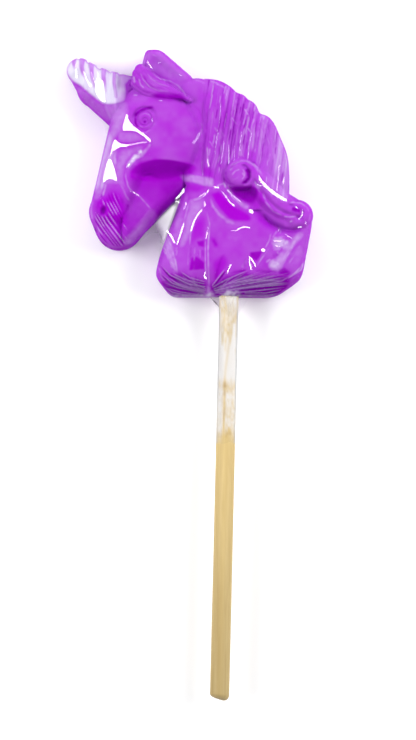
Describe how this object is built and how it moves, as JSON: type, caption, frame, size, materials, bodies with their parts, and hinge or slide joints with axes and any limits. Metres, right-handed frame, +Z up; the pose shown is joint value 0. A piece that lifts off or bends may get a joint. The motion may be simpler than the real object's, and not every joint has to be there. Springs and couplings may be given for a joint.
{
  "type": "lollipop",
  "caption": "Moulded hard-candy lollipop in the form of a unicorn's head in relief with a flat back, sealed in tight clear film that is gathered round a wooden stick; lies face up",
  "frame": {"origin": "under the middle of the part's box, on the surface that its flat back lies on", "axes": "+Y runs from the stick's free end to the top of the head, +Z up out of the relief, +X to the right when the relief faces the viewer; the horn points to -X"},
  "size_m": [0.0768, 0.2014, 0.0202],
  "materials": {
    "candy": "glossy purple boiled sugar",
    "film": "clear glossy creased film",
    "stick_wood": "plain pale dowel, smooth and dull"
  },
  "bodies": {
    "root": {"wrapped_candy": "candy", "film_sleeve": "film", "stick": "stick_wood"}
  },
  "joints": []
}
